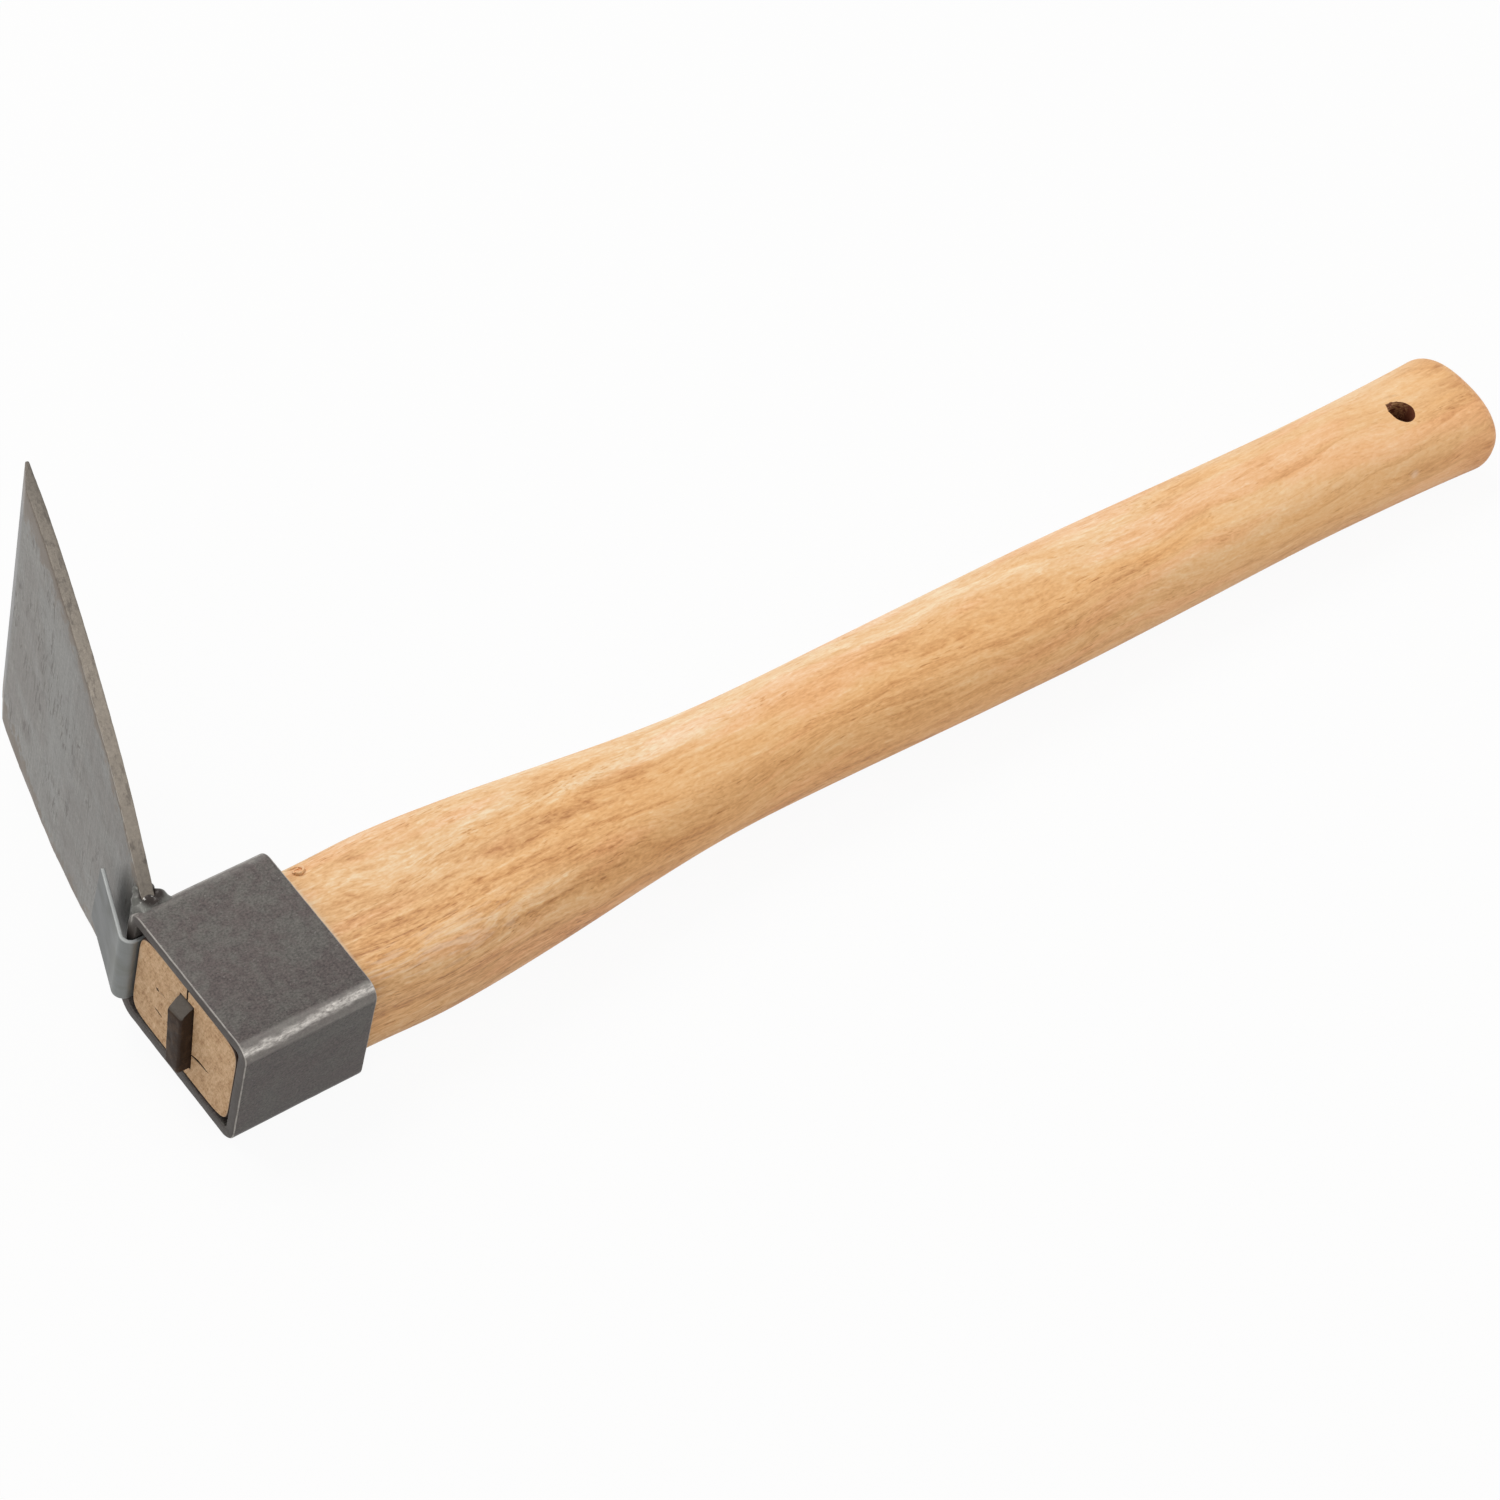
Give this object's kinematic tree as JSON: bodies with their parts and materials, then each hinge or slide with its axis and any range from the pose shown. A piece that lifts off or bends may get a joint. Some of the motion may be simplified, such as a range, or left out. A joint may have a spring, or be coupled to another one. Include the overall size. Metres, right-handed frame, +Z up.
{
  "type": "garden hoe",
  "caption": "Short-handled garden hoe: flared steel blade welded to a bent flat-bar eye, fixed on a shaped wooden handle by a folded tongue and a steel wedge.",
  "frame": {"origin": "middle of the hoe's outline, on the surface that it lies on", "axes": "+X along the handle from the eye to the butt, +Y to the blade's side, +Z up"},
  "size_m": [0.4034, 0.1588, 0.0862],
  "materials": {
    "handle_wood": "light tan hardwood, sanded and lightly oiled, open dark pores along the grain",
    "band_steel": "hot-rolled flat bar with dark mottled scale, burnished along the bends",
    "blade_steel": "rolled plate, satin grey, fine scratches along its length, ground edge",
    "weld_steel": "dark weld bead, uneven, with bright specks",
    "tongue_steel": "smooth grey sheet with bright sheared edges",
    "wedge_steel": "dark brown-black forged scale"
  },
  "bodies": {
    "root": {"handle": "handle_wood", "eye_band": "band_steel", "blade": "blade_steel", "weld_front": "weld_steel", "weld_rear": "weld_steel", "locking_tongue": "tongue_steel", "wedge": "wedge_steel"}
  },
  "joints": []
}
